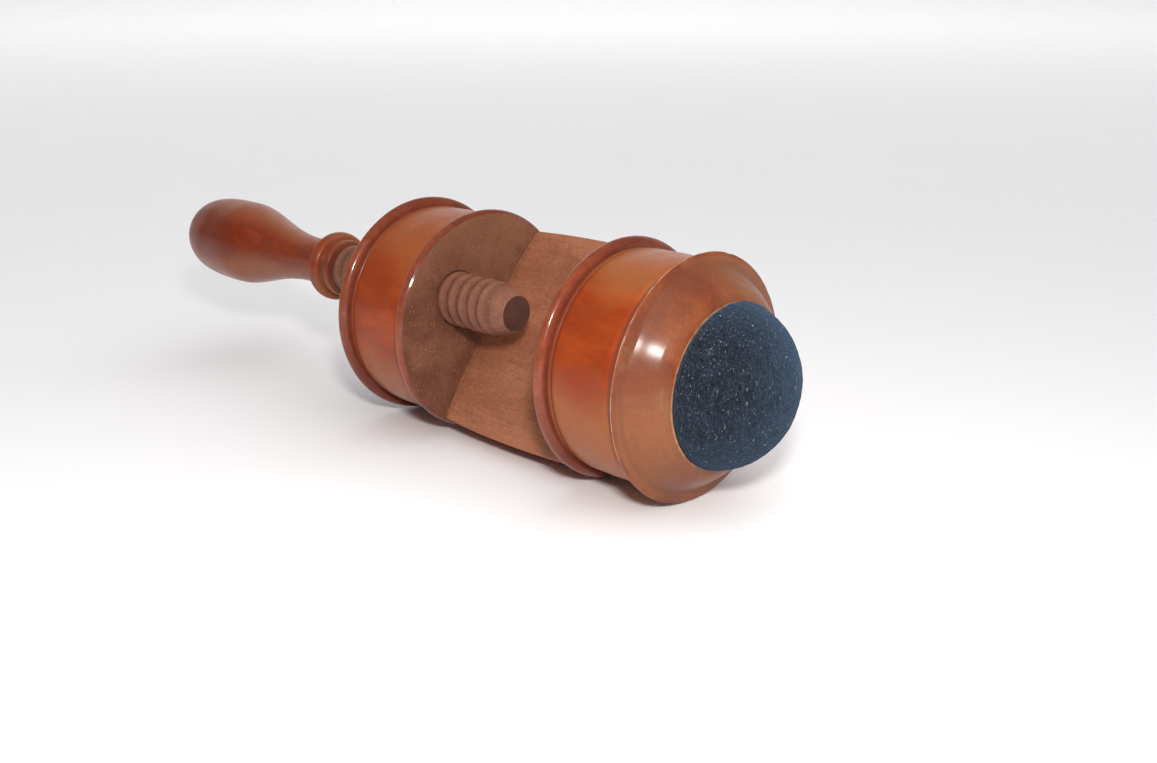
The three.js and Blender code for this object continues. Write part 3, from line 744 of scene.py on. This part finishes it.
# -------------------------------------------------------------------------- handle
H = Mesh()
hp = []
for i in range(0, 61):
    t = math.cos(i / 60 * math.pi / 2)
    hp.append((S_BULB - L_BULB_END * t, R_BULB * max(0.0, 1 - t ** 4.455) ** 0.5))
for i in range(1, 71):
    u = i / 70
    hp.append((S_BULB + (S_NECK - S_BULB) * u, R_NECK + (R_BULB - R_NECK) * (0.5 + 0.5 * math.cos(math.pi * u ** 0.70))))
sg = np.linspace(hp[0][0], hp[-1][0], 1200)
rg = np.interp(sg, [q[0] for q in hp], [q[1] for q in hp])


def eased(s, r):
    """The pear has no corner where its two curves meet."""
    w = np.exp(-0.5 * ((sg - s) / 1.6) ** 2)
    t = min(1.0, max(0.0, (s + 78) / 6)) * min(1.0, max(0.0, (-33 - s) / 4))
    return r * (1 - t) + t * float((w * rg).sum() / w.sum())


hp = [(s, eased(s, r)) for s, r in hp]
hp += [(-29.0, 5.30), (-27.6, 5.27), (-26.6, 5.28), (-25.8, 5.33), (-25.3, 5.45), (-24.9, 5.7), (-24.6, 6.0), (-24.3, 6.35), (-24.12, 6.6)]
hp += bead(S_COLLAR, R_COLLAR, 1.7, 6.9, 20, -0.985, 0.985)
hp += [(-20.58, 6.7), (-20.5, 6.45), (-20.38, 6.28), (-20.2, 6.2), (-20.02, 6.28), (-19.88, 6.45), (-19.72, 6.66), (-19.5, 6.76), (-19.2, 6.78), (-18.8, 6.77), (-18.4, 6.74), (-18.15, 6.65), (-17.98, 6.5), (-17.9, 6.3), (-17.9, 5.0), (S_THREAD_END - 0.3, R_TENON + 0.3), (-24, R_TENON + 0.3), (-30, R_TENON + 0.3), (S_TENON - 0.3, R_TENON + 0.3), (S_TENON - 0.3, 0)]
wob5 = fnoise(53)
lathe(H, hp, 160, OFF, rf=lambda s, r, a: r + 0.04 * wob5(s, a) * min(1.0, r / 4.0))


def dirt_handle(s, y, z):
    d = np.clip(1 - np.abs(s + 24.6) / 0.7, 0, 1)
    d = np.maximum(d, np.clip(1 - np.abs(s + 20.2) / 0.6, 0, 1))
    d = np.maximum(d, np.clip(1 - np.abs(s + 17.8) / 0.35, 0, 1))
    return np.maximum(d * 0.95, 0.18 * np.clip((s + 34) / 10, 0, 1))


def wear_handle(s, y, z):
    w = np.clip(1 - np.abs(s - S_COLLAR) / 0.7, 0, 1) * 0.3
    return np.maximum(w, 0.45 * np.clip(1 - np.abs(s + 19.0) / 0.7, 0, 1))


# the handle's stain mask is partly painted sheen, paler towards its top and bottom
handle = H.build("turned_handle", [handle_mat], 55, {"dirt_and_shade": dirt_handle, "wear": wear_handle, "stain_and_sheen": stain_sheen_mask(16, 56, 156.0, off=OFF)})
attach(handle, "screw")
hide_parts("screw_handle")


# ----------------------------------------------------------------------- pincushion
def velvet_material():
    m = Mat("cotton_velvet")
    warp = m.n("ShaderNodeTexNoise")
    m.put(warp, "Vector", m.at((1 / 5.5, 1 / 5.5, 1 / 5.5)))
    m.put(warp, "Scale", 1.0)
    m.put(warp, "Detail", 3.0)
    bent = m.vm("ADD", m.P, m.vm("SCALE", warp.outputs["Color"], scale=2.6))
    swirl = m.noise(None, 5, 0.62, 0.6, vec=m.vm("MULTIPLY", bent, (1 / 2.2, 1 / 2.2, 1 / 2.2)))
    streak = m.noise(None, 4, 0.7, 0.3, vec=m.vm("MULTIPLY", bent, (1 / 0.34, 1 / 0.34, 1 / 1.5)))
    tuft = m.noise((1 / 0.23, 1 / 0.23, 1 / 0.23), 3, 0.75)
    fine = m.noise((1 / 0.09, 1 / 0.09, 1 / 0.09), 2, 0.6)
    deep, blue, pale = lin(16, 18, 24), lin(31, 37, 47), lin(80, 87, 98)
    c = m.mix(m.remap(swirl, 0.36, 0.68), deep, blue)
    c = m.mix(m.mm("MULTIPLY", m.remap(streak, 0.48, 0.68), 0.8), c, lin(58, 66, 80))
    c = m.mix(m.mm("MULTIPLY", m.remap(streak, 0.46, 0.30), 0.75), c, lin(11, 14, 21))
    c = m.mix(m.mm("MULTIPLY", m.remap(tuft, 0.52, 0.74), 0.5), c, pale)
    c = m.mix(m.mm("MULTIPLY", m.remap(fine, 0.55, 0.75), 0.35), c, lin(96, 104, 116))
    c = m.mix(m.mm("MULTIPLY", m.remap(tuft, 0.50, 0.30), 0.5), c, lin(12, 16, 26))
    # lint caught in the pile
    for k, (sx, sy, sz, keep, thick, amount) in enumerate(((0.42, 0.45, 1.9, 0.72, 0.27, 0.34), (0.9, 0.36, 0.5, 0.80, 0.26, 0.38), (1.5, 1.2, 3.4, 0.80, 0.13, 0.9))):
        lint = m.n("ShaderNodeTexVoronoi", feature="F1")
        m.put(lint, "Vector", m.vm("ADD", m.vm("MULTIPLY", bent, (1 / sx, 1 / sy, 1 / sz)), (3.7 * k, 1.9 * k, 0.0)))
        m.put(lint, "Scale", 1.0)
        pick = m.remap(m.n_sep(lint.outputs["Color"]), keep, keep + 0.02)
        dot = m.mm("MULTIPLY", m.remap(lint.outputs["Distance"], thick * 0.4, thick, 1.0, 0.0), pick)
        c = m.mix(m.mm("MULTIPLY", dot, amount), c, lin(176, 180, 178))
    h = m.mm("ADD", m.mm("MULTIPLY", tuft, 1.0), m.mm("MULTIPLY", streak, 0.8))
    h = m.mm("ADD", h, m.mm("MULTIPLY", fine, 0.4))
    m.set(Base_Color=c, Normal=m.bump(h, 0.16 * MM, 1.0))
    m.bsdf.inputs["Roughness"].default_value = 0.95
    m.bsdf.inputs["Specular IOR Level"].default_value = 0.15
    m.bsdf.inputs["Sheen Weight"].default_value = 0.4
    m.bsdf.inputs["Sheen Roughness"].default_value = 0.42
    m.bsdf.inputs["Sheen Tint"].default_value = lin(120, 160, 205)
    return m.m


def cloth_material(name, a, b, pitch, rough=0.9):
    m = Mat(name)
    wv = []
    for axis in (1, 2):
        sep = m.n("ShaderNodeSeparateXYZ")
        m.put(sep, 0, m.P)
        wv.append(m.mm("SINE", m.mm("MULTIPLY", sep.outputs[axis], 2 * math.pi / pitch)))
    weave = m.mm("MULTIPLY", wv[0], wv[1])
    slub = m.noise((1 / 2.0, 1 / 0.4, 1 / 2.5), 4, 0.6)
    c = m.mix(m.remap(weave, -0.8, 0.8), a, b)
    c = m.mix(m.mm("MULTIPLY", m.remap(slub, 0.4, 0.7), 0.4), c, (a[0] * 0.7, a[1] * 0.66, a[2] * 0.6, 1))
    m.set(Base_Color=c, Normal=m.bump(m.mm("ADD", weave, slub), 0.08 * MM, 1.0))
    m.bsdf.inputs["Roughness"].default_value = rough
    m.bsdf.inputs["Sheen Weight"].default_value = 0.15
    return m.m


def grain_material(name, a, b, c3, size):
    m = Mat(name)
    v = m.n("ShaderNodeTexVoronoi", feature="F1")
    m.put(v, "Vector", m.at((1 / size, 1 / size, 1 / size)))
    m.put(v, "Scale", 1.0)
    c = m.mix(m.n_sep(v.outputs["Color"]), a, b)
    c = m.mix(m.remap(v.outputs["Distance"], 0.3, 0.8), c, c3)
    m.set(Base_Color=c, Normal=m.bump(v.outputs["Distance"], 0.3 * MM, -1.0))
    m.bsdf.inputs["Roughness"].default_value = 0.95
    return m.m


velvet_mat = velvet_material()
S_BAG = S_CUP_FLOOR + 3.4


def dome(shrink, n=46):
    a, h = R_VELVET - shrink, H_VELVET - shrink
    t0 = math.asin((91.2 - S_VELVET) / h)
    out = []
    for i in range(n + 1):
        t = t0 + (math.pi / 2 - t0) * i / n
        out.append((S_VELVET + h * math.sin(t), a * math.cos(t) if i < n else 0.0))
    return out


# Outside of the bag, from its gathered mouth round to the top of the crown.
MOUTH = 3.2
bag = [(S_BAG, MOUTH), (S_BAG, 7.0), (S_BAG, 12.2), (S_BAG + 0.35, 13.4), (S_BAG + 0.9, 14.3), (S_BAG + 1.7, 14.9), (S_BAG + 2.6, 15.2), (82.5, 15.25), (84.0, 15.25), (85.5, 15.25), (87.0, 15.25), (88.4, 15.25), (89.3, 15.3), (89.9, 15.5), (90.3, 15.75), (90.7, 16.08)] + dome(0.0)


def build_bag(profile, n, name):
    M = Mesh()
    lathe(M, profile, n)
    me = bpy.data.meshes.new(name)
    me.from_pydata(M.v, [], M.f)
    me.update()
    ob = bpy.data.objects.new(name, me)
    col.objects.link(ob)
    return ob


def bake_modifiers(ob):
    dg = bpy.context.evaluated_depsgraph_get()
    me = bpy.data.meshes.new_from_object(ob.evaluated_get(dg))
    old = ob.data
    ob.modifiers.clear()
    ob.data = me
    bpy.data.meshes.remove(old)


def inflate(ob):
    """Cloth under inner pressure, at twenty times size so that the solver's cloth is a sensible weight; the sides in the socket are pinned."""
    K = 20.0
    base = np.zeros(len(ob.data.vertices) * 3, np.float32)
    ob.data.vertices.foreach_get("co", base)
    base = base.reshape(-1, 3)
    mid = np.array([(86.0 - ORIGIN_S) * MM, 0, AXIS_Z * MM], np.float32)
    start = (base - mid) * K
    s = base[:, 0] / MM + ORIGIN_S
    crown = np.clip((s - 90.6) / 1.5, 0, 1)
    start = start * (1 - 0.035 * crown[:, None])
    ob.data.vertices.foreach_set("co", start.ravel())
    ob.data.update()
    pin = ob.vertex_groups.new(name="pin")
    for i in range(len(base)):
        pin.add([i], float(1 - crown[i]), "REPLACE")
    md = ob.modifiers.new("Cloth", "CLOTH")
    st = md.settings
    st.quality = 6
    st.mass = 0.3
    st.tension_stiffness = 22
    st.compression_stiffness = 22
    st.shear_stiffness = 8
    st.bending_stiffness = 2.0
    st.use_pressure = True
    st.uniform_pressure_force = 4.0
    st.vertex_group_mass = "pin"
    st.pin_stiffness = 1.0
    st.effector_weights.gravity = 0.0
    md.point_cache.frame_start = 1
    md.point_cache.frame_end = 20
    for f in range(1, 21):
        scene.frame_set(f)
    dg = bpy.context.evaluated_depsgraph_get()
    ev = ob.evaluated_get(dg)
    out = np.zeros(len(base) * 3, np.float32)
    ev.data.vertices.foreach_get("co", out)
    out = out.reshape(-1, 3) / K + mid
    ob.modifiers.clear()
    scene.frame_set(1)
    # the crown is held to what was measured: no point moves more than 0.45 mm
    move = out - base
    length = np.linalg.norm(move, axis=1, keepdims=True)
    cap_len = 0.45 * MM
    move *= np.minimum(1.0, cap_len / np.maximum(length, 1e-9))
    ob.data.vertices.foreach_set("co", (base + move).astype(np.float32).ravel())
    ob.data.update()
    return float(length.max() / MM)


velvet = build_bag(bag, 112, "velvet_cover")
print("cushion moved", inflate(velvet))
# pile: uneven nap, softly lumpy filling under it, puckers where it meets the socket
co = np.zeros(len(velvet.data.vertices) * 3, np.float32)
velvet.data.vertices.foreach_get("co", co)
co = co.reshape(-1, 3)
sub = velvet.modifiers.new("Subdivision", "SUBSURF")
sub.levels = sub.render_levels = 1
bake_modifiers(velvet)
me = velvet.data
n = len(me.vertices)
co = np.zeros(n * 3, np.float32)
me.vertices.foreach_get("co", co)
co = co.reshape(-1, 3)
nor = np.zeros(n * 3, np.float32)
me.vertices.foreach_get("normal", nor)
nor = nor.reshape(-1, 3)
from mathutils import noise as mnoise
s_v = co[:, 0] / MM + ORIGIN_S
d = np.zeros(n, np.float32)
for i in range(n):
    if s_v[i] < 90.2:
        continue
    p = co[i] / MM
    lump = mnoise.noise(Vector((p[0] * 0.16, p[1] * 0.16, p[2] * 0.16)))
    nap = mnoise.noise(Vector((p[0] * 0.9, p[1] * 0.9, p[2] * 0.9)))
    tuf = mnoise.noise(Vector((p[0] * 2.6, p[1] * 2.6, p[2] * 2.6)))
    a = math.atan2(p[2] - AXIS_Z, p[1])
    edge = max(0.0, 1 - (s_v[i] - 90.2) / 2.4)
    puck = edge * (0.5 + 0.5 * math.sin(23 * a + 2.2 * math.sin(3 * a))) * -0.14
    w = min(1.0, (s_v[i] - 90.2) / 0.8)
    puck += 0.45 * math.exp(-((s_v[i] - 91.3) / 1.3) ** 2) * max(0.0, math.sin(a)) ** 1.5
    d[i] = w * (0.16 * lump + 0.07 * nap + 0.05 * tuf) + puck * w
up_w = np.clip((s_v - 90.4) / 2.5, 0, 1)
co[:, 2] += 0.5 * MM * up_w * up_w * (3 - 2 * up_w) * np.clip(0.5 + (co[:, 2] / MM - AXIS_Z) / 22, 0, 1)
co[:, 0] -= 0.15 * MM * up_w
co += nor * (d * MM)[:, None]
me.vertices.foreach_set("co", co.ravel())
me.update()
sol = velvet.modifiers.new("Solidify", "SOLIDIFY")
sol.thickness = 0.8 * MM
sol.offset = -1.0
sol.use_even_offset = False
bake_modifiers(velvet)
velvet.data.materials.clear()
velvet.data.materials.append(velvet_mat)
velvet.data.polygons.foreach_set("use_smooth", [True] * len(velvet.data.polygons))
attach(velvet, "clamp")
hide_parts("cushion_velvet")


def shell(profile_out, thick, mouth, name, mats, n=96, wob_amp=0.08, seed=61):
    """A sewn bag as a thin closed shell."""
    M = Mesh()
    w = fnoise(seed)
    inner = []
    for s, r in reversed(profile_out):
        if r <= mouth + 1e-6 and s < 85:
            inner.append((s + thick, mouth))
        elif s < 82.0:
            inner.append((s + thick, max(mouth, r - thick * 0.6)))
        elif r < 1e-6:
            inner.append((s - thick, 0.0))
        else:
            inner.append((s - thick * max(0.0, (s - 90) / 14.0), max(0.0, r - thick)))
    inner = [p for p in inner]
    lathe(M, profile_out, n, rf=lambda s, r, a: r - wob_amp * (0.5 + 0.5 * w(s, a)) * min(1.0, r / 8.0))
    lathe(M, inner + [profile_out[0]], n, rf=lambda s, r, a: r - wob_amp * (0.5 + 0.5 * w(s, a)) * min(1.0, r / 8.0))
    return M.build(name, mats, 60)


g = 1.2
lin_prof = [(S_BAG + g, MOUTH), (S_BAG + g, 7.0), (S_BAG + g, 11.0), (S_BAG + g + 0.4, 12.4), (S_BAG + g + 1.0, 13.3), (S_BAG + g + 1.8, 13.8), (S_BAG + g + 2.8, 14.02), (84.0, 14.05), (87.0, 14.05), (88.8, 14.05), (89.6, 14.15), (90.4, 14.5)] + [(s, r) for s, r in dome(g, 30) if s > 91.2]
lining = shell(lin_prof, 0.5, MOUTH, "calico_lining", [cloth_material("calico", lin(206, 196, 172), lin(228, 220, 200), 0.5)])
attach(lining, "clamp")
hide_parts("cushion_lining")

g2 = 2.15
S_F = S_BAG + g2
F = Mesh()
fill_prof = [(S_F, 0), (S_F, 6.0), (S_F, 9.6), (S_F + 0.5, 11.2), (S_F + 1.3, 12.3), (S_F + 2.4, 12.95), (84.0, 13.1), (87.0, 13.1), (89.4, 13.15), (90.6, 13.6)] + [(s, r) for s, r in dome(g2, 26) if s > 91.2]
fw = fnoise(71, 12)
lathe(F, rows(fill_prof, 0.6), 110, rf=lambda s, r, a: r - 0.22 * (0.5 + 0.5 * fw(s * 3, a)) * min(1.0, r / 6) - 0.05 * (0.5 + 0.5 * math.sin(41 * a + 7 * s)) * min(1.0, r / 6))
filling = F.build("bran_filling", [grain_material("bran", lin(176, 140, 92), lin(142, 104, 62), lin(92, 64, 38), 0.9)], 80)
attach(filling, "clamp")
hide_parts("cushion_stuffing")

K = Mesh()
kw = fnoise(83)
lathe(K, [(75.3, 0), (75.3, 8), (75.3, 14.8), (75.36, 14.96), (75.5, 15.0), (76.1, 15.0), (76.24, 14.96), (76.3, 14.8), (76.3, 8), (76.3, 0)], 96, rf=lambda s, r, a: r + 0.03 * kw(s, a) * (r > 14))
card = K.build("card_disc", [grain_material("millboard", lin(176, 160, 128), lin(160, 144, 112), lin(140, 122, 92), 0.35)], 40)
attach(card, "clamp")
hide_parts("cushion_card")

# gathering thread: two-ply, laid round the bag's mouth
G = Mesh()
NT, NC = 220, 16
rings = []
for i in range(NT):
    a = 2 * math.pi * i / NT
    pts, sv = [], []
    for j in range(NC):
        b = 2 * math.pi * j / NC
        rr = 0.40 * (0.86 + 0.14 * abs(math.sin(b * 1.0 + 22 * a)))
        R = MOUTH + 1.0 + rr * math.sin(b)
        pts.append((R * math.cos(a), R * math.sin(a)))
        sv.append(S_BAG - 0.8 + rr * math.cos(b))
    rings.append(G.ring(sv, pts))
for i in range(NT):
    G.strip(rings[i], rings[(i + 1) % NT], 0)
thread = G.build("gathering_cord", [cloth_material("waxed_thread", lin(40, 38, 40), lin(66, 62, 60), 0.35, 0.6)], 80)
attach(thread, "clamp")
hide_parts("gathering_thread")

# ------------------------------------------------------------ floor, light, camera
bm = bmesh.new()
prof = [(-8.0, 0.0), (-1.6, 0.0), (2.6, 0.0)]
for k in range(1, 13):
    a = k / 12 * math.pi / 2
    prof.append((2.6 + 0.9 * math.sin(a), 0.9 - 0.9 * math.cos(a)))
prof.append((3.5, 3.0))
# the sweep runs away from the camera: u along the view's ground direction, v across it
U, Vd = Vector((-0.7061, 0.7081, 0)), Vector((0.7081, 0.7061, 0))
prev = None
for u, z in prof:
    cur = [bm.verts.new(U * u + Vd * w + Vector((0, 0, z))) for w in (-8.0, -1.0, 1.0, 8.0)]
    if prev:
        for j in range(3):
            bm.faces.new((prev[j], prev[j + 1], cur[j + 1], cur[j]))
    prev = cur
fm = bpy.data.meshes.new("sweep")
bm.normal_update()
bm.to_mesh(fm)
bm.free()
fm.polygons.foreach_set("use_smooth", [True] * len(fm.polygons))
floor = bpy.data.objects.new("sweep", fm)
col.objects.link(floor)
pm = Mat("paper")
pn = pm.noise((1 / 60, 1 / 60, 1 / 60), 3, 0.5)
pm.set(Base_Color=pm.mix(pn, (0.91, 0.902, 0.91, 1), (0.93, 0.922, 0.93, 1)))
pm.bsdf.inputs["Roughness"].default_value = 0.9
pm.bsdf.inputs["Specular IOR Level"].default_value = 0.1
fm.materials.append(pm.m)


def area(name, loc, target, size, power, colour=(1, 1, 1)):
    ld = bpy.data.lights.new(name, "AREA")
    ld.shape = "DISK"
    ld.size = size
    ld.energy = power
    ld.color = colour
    ob = bpy.data.objects.new(name, ld)
    col.objects.link(ob)
    ob.location = loc
    ob.rotation_euler = (Vector(target) - Vector(loc)).to_track_quat("-Z", "Y").to_euler()
    return ob


def sky(name, az, el, strength, angle, colour=(1, 1, 1)):
    """A very broad, soft light that shows in no reflection."""
    ld = bpy.data.lights.new(name, "SUN")
    ld.energy = strength
    ld.angle = math.radians(angle)
    ld.color = colour
    ob = bpy.data.objects.new(name, ld)
    col.objects.link(ob)
    az, el = math.radians(az), math.radians(el)
    ob.rotation_euler = Vector((-math.cos(el) * math.cos(az), -math.cos(el) * math.sin(az), -math.sin(el))).to_track_quat("-Z", "Y").to_euler()
    ob.visible_glossy = False
    return ob


centre = Vector((0.02, 0, 0.025))
# the main light sits just above the lens, as near to the object as the camera is
area("key", Vector((0.221, -0.168, 0.156)), Vector((0.03, 0, 0.025)), 0.032, 0.60, (1.0, 0.985, 0.955))
sky("overhead", 22, 60, 2.1, 100)
wash = area("backdrop_wash", U * 1.7 + Vector((0, 0, 1.9)), U * 3.3 + Vector((0, 0, 0.7)), 1.6, 13.0)
wash.visible_glossy = False

world = bpy.data.worlds.new("surround")
scene.world = world
world.use_nodes = True
wb = world.node_tree.nodes["Background"]
wb.inputs[0].default_value = (0.96, 0.97, 1.0, 1)
wb.inputs[1].default_value = 0.18

cam = bpy.data.cameras.new("camera")
cam.lens = 40.449
cam.sensor_width = 36.0
cam.sensor_fit = "HORIZONTAL"
cam.clip_start = 0.01
cam.clip_end = 20
co_ = bpy.data.objects.new("camera", cam)
col.objects.link(co_)
right = Vector((0.70808, 0.70613, 0.0)).normalized()
fwd = Vector((-0.67185, 0.67371, -0.30778)).normalized()
up = right.cross(fwd).normalized()
rm = Matrix((right, up, -fwd)).transposed()
co_.matrix_world = Matrix.Translation((0.22501, -0.18550, 0.10175)) @ rm.to_4x4()
scene.camera = co_
scene.view_settings.view_transform = "Standard"
scene.view_settings.look = "None"
